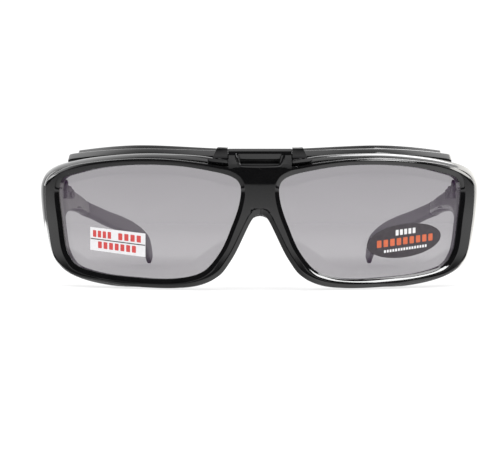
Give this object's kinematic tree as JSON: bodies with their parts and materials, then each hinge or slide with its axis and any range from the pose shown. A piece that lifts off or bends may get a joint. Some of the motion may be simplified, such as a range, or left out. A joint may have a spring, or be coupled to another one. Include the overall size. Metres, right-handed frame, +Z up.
{
  "type": "flip-up over-glasses sunglasses",
  "caption": "Wraparound sunglasses worn over other glasses, with folding temples and a tinted front frame that swings up about a pin above the bridge.",
  "frame": {"origin": "centre of the bounding box on the surface the glasses stand on, temples open and front down", "axes": "+X to the wearer's left, +Y back towards the temple tips, +Z up"},
  "size_m": [0.1556, 0.1615, 0.0477],
  "materials": {
    "gloss_black": "polished",
    "smoke_lens": "polished, tinted, see-through",
    "soft_touch": "matte",
    "steel": "satin",
    "dark_label": "printed film",
    "white_label": "printed film"
  },
  "bodies": {
    "base": {"base_frame": "gloss_black", "hinge_pin": "steel", "temple_hinge_front_left": "steel", "temple_hinge_front_right": "steel", "temple_screw_left": "steel", "temple_screw_right": "steel", "front_leaf_rivets_left": "steel", "front_leaf_rivets_right": "steel"},
    "flip": {"flip_frame": "gloss_black", "lens_left": "smoke_lens", "lens_right": "smoke_lens", "label_left": "dark_label", "label_right": "white_label", "detent_spring": "steel"},
    "temple_left": {"temple_left": "gloss_black", "temple_sleeve_left": "soft_touch", "temple_hinge_rear_left": "steel", "rear_leaf_rivets_left": "steel"},
    "temple_right": {"temple_right": "gloss_black", "temple_sleeve_right": "soft_touch", "temple_hinge_rear_right": "steel", "rear_leaf_rivets_right": "steel"}
  },
  "joints": [
    {"name": "flip_hinge", "type": "hinge", "parent": "base", "child": "flip", "pos_m": [0, -0.0779, 0.0423], "axis": [-1, 0, 0], "range_deg": [0, 90], "deforming": ["detent_spring"]},
    {"name": "temple_left_fold", "type": "hinge", "parent": "base", "child": "temple_left", "pos_m": [0.0702, -0.0437, 0.033], "axis": [0, 0, 1], "range_deg": [0, 88]},
    {"name": "temple_right_fold", "type": "hinge", "parent": "base", "child": "temple_right", "pos_m": [-0.0702, -0.0437, 0.033], "axis": [0, 0, -1], "range_deg": [0, 82]}
  ]
}
